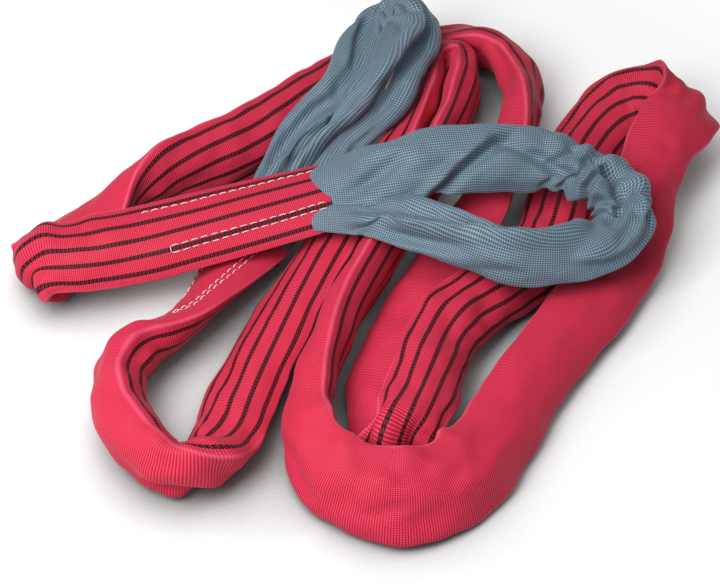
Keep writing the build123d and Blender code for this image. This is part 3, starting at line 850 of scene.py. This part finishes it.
def shareAt(across, underneath):
    # an offset across the flat sleeve as a share of the way round it
    share = (1 - across / (redSleeve["width"] / 2)) / 4
    return 1 - share if underneath else share


def seamPiece(name, rows, seamLength, fromStart, underneath):
    form = bmesh.new()
    total = red.reached[-1]
    step = stitchForm["long"] + stitchForm["gap"]
    last = len(stitchForm["dips"]) - 1
    alongNoise, rowNoise, shareNoise = stitchForm["wanderScale"]
    for number, across in enumerate(rows):
        share = shareAt(across, underneath)
        for k in range(int((seamLength + stitchForm["gap"]) / step)):
            start = stitchForm["inset"] + k * step
            places = []
            for part in range(last + 1):
                distance = start + stitchForm["long"] * part / last
                spot = Vector((distance * alongNoise, number * rowNoise, share * shareNoise))
                wander = stitchForm["wander"] * noise.noise(spot)
                places.append(clothAt(red, distance if fromStart else total - distance, share + wander))
            addStitch(form, places)
    # a double seam is closed by one stitch across its end
    if len(rows) == 2:
        end = stitchForm["inset"] + seamLength - stitchForm["closingBack"]
        first, second = [shareAt(across, underneath) for across in rows]
        places = []
        for part in range(last + 1):
            share = first + (second - first) * part / last
            places.append(clothAt(red, end if fromStart else total - end, share))
        addStitch(form, places)
    return pieceFrom(form, name)


seamRows = {"upper": [-0.028], "lower": [0.019, 0.013]}  # offsets across the flat sleeve
sewing = {"front": {"upper": 0.185, "lower": 0.160, "underneath": False},
          "back": {"upper": 0.150, "lower": 0.150, "underneath": True}}
threadFinish = spunWhite("spun_polyester_thread", whiteYarn["threadPly"])
seams = {}
for end, sewn in sewing.items():
    for rank, rows in seamRows.items():
        seam = seamPiece(f"stitches_{rank}_{end}", rows, sewn[rank], end == "front", sewn["underneath"])
        seam.data.materials.append(threadFinish)
        seams[f"seam_{rank}_{end}"] = seam
print("seams sewn")

# what each piece is in the model
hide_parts("body_sleeve")
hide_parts("eye_sleeve_front")
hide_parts("eye_sleeve_back")
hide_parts("core_hank")
for node, seam in seams.items():
    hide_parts(node)
for piece in (redPiece, frontPiece, backPiece, hank, *seams.values()):
    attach(piece, "root")

# floor, light and surroundings
studio = {"floor": 9.0, "floorDown": 0.0004, "paper": "#fafafa", "paintedShadow": "#747474",
          "paintedShadowReach": 0.09, "closed": 0.20, "open": 0.92, "shadeFall": (0.0, 0.55, 0.83),
          "glowNear": 0.32, "glowFar": 1.0, "near": 0.34, "far": 0.62, "sky": 0.12,
          "key": 21.5, "keySize": 0.8, "keyAt": (-0.80, -0.80, 1.25),
          "top": 14.0, "topSize": 1.0, "topAt": (-0.35, -0.35, 1.7), "aim": (-0.05, -0.05, 0.04)}


def seenDirectly(owner):
    # 1 for what the camera sees, also in a gloss or through something clear, 0 for the light it gives
    ray = addNode(owner, "ShaderNodeLightPath")
    glossy = addNode(owner, "ShaderNodeMath", {"operation": "MAXIMUM"},
                     {0: ray.outputs["Is Camera Ray"], 1: ray.outputs["Is Glossy Ray"]})
    return addNode(owner, "ShaderNodeMath", {"operation": "MAXIMUM"},
                   {0: glossy.outputs[0], 1: ray.outputs["Is Transmission Ray"]})


bpy.ops.object.select_all(action="DESELECT")
bpy.ops.mesh.primitive_plane_add(size=studio["floor"], location=(0, 0, -studio["floorDown"]))
studioFloor = context.object
studioFloor.name = "studio_floor"
paper = blankMaterial("white_paper_floor")
# painted shadow: the paper's colour darkens where the sling lies close over it, a contact shadow drawn in
# from occlusion
shadeFall = addNode(paper, "ShaderNodeCombineXYZ", dict(zip(("X", "Y", "Z"), studio["shadeFall"])))
closeBy = addNode(paper, "ShaderNodeAmbientOcclusion", {"samples": 8, "Distance": studio["paintedShadowReach"]},
                  {"Normal": shadeFall.outputs[0]})
openness = addNode(paper, "ShaderNodeMapRange", {"From Min": studio["closed"], "From Max": studio["open"]},
                   {"Value": closeBy.outputs["AO"]})
paintedShadowMix = addNode(paper, "ShaderNodeMix",
                 {"data_type": "RGBA", 6: srgb(studio["paintedShadow"]), 7: srgb(studio["paper"])},
                 {0: openness.outputs[0]})
matt = addNode(paper, "ShaderNodeBsdfDiffuse", {"Roughness": 0.9}, {"Color": paintedShadowMix.outputs[2]})
glow = addNode(paper, "ShaderNodeEmission", {"Color": (1, 1, 1, 1), "Strength": 1.0})
# and glows paler with distance, for the camera only
seen = seenDirectly(paper)
around = addNode(paper, "ShaderNodeTexCoord")
fromMiddle = addNode(paper, "ShaderNodeVectorMath", {"operation": "LENGTH"}, {0: around.outputs["Object"]})
paled = addNode(paper, "ShaderNodeMapRange",
                {"From Min": studio["near"], "From Max": studio["far"], "To Min": studio["glowNear"],
                 "To Max": studio["glowFar"], "interpolation_type": "SMOOTHSTEP"},
                {"Value": fromMiddle.outputs["Value"]})
clearOfShade = addNode(paper, "ShaderNodeMath", {"operation": "MULTIPLY"},
                       {0: openness.outputs[0], 1: paled.outputs[0]})
share = addNode(paper, "ShaderNodeMath", {"operation": "MULTIPLY"},
                {0: seen.outputs[0], 1: clearOfShade.outputs[0]})
both = addNode(paper, "ShaderNodeMixShader", {},
               {0: share.outputs[0], 1: matt.outputs[0], 2: glow.outputs[0]})
addNode(paper, "ShaderNodeOutputMaterial", {}, {"Surface": both.outputs[0]})
studioFloor.data.materials.append(paper)


def addSoftbox(name, place, size, power):
    lamp = bpy.data.lights.new(name, "AREA")
    lamp.size = size
    lamp.energy = power
    aimAt(addObject(name, lamp), place, studio["aim"])


addSoftbox("key_softbox", studio["keyAt"], studio["keySize"], studio["key"])
addSoftbox("top_softbox", studio["topAt"], studio["topSize"], studio["top"])
sky = bpy.data.worlds.new("studio_surround")
context.scene.world = sky
sky.use_nodes = True
sky.node_tree.nodes.clear()
level = addNode(sky, "ShaderNodeMapRange", {"To Min": studio["sky"], "To Max": 1.0},
                {"Value": seenDirectly(sky).outputs[0]})
air = addNode(sky, "ShaderNodeBackground", {"Color": (1, 1, 1, 1)}, {"Strength": level.outputs[0]})
addNode(sky, "ShaderNodeOutputWorld", {}, {"Surface": air.outputs[0]})
print("studio set")
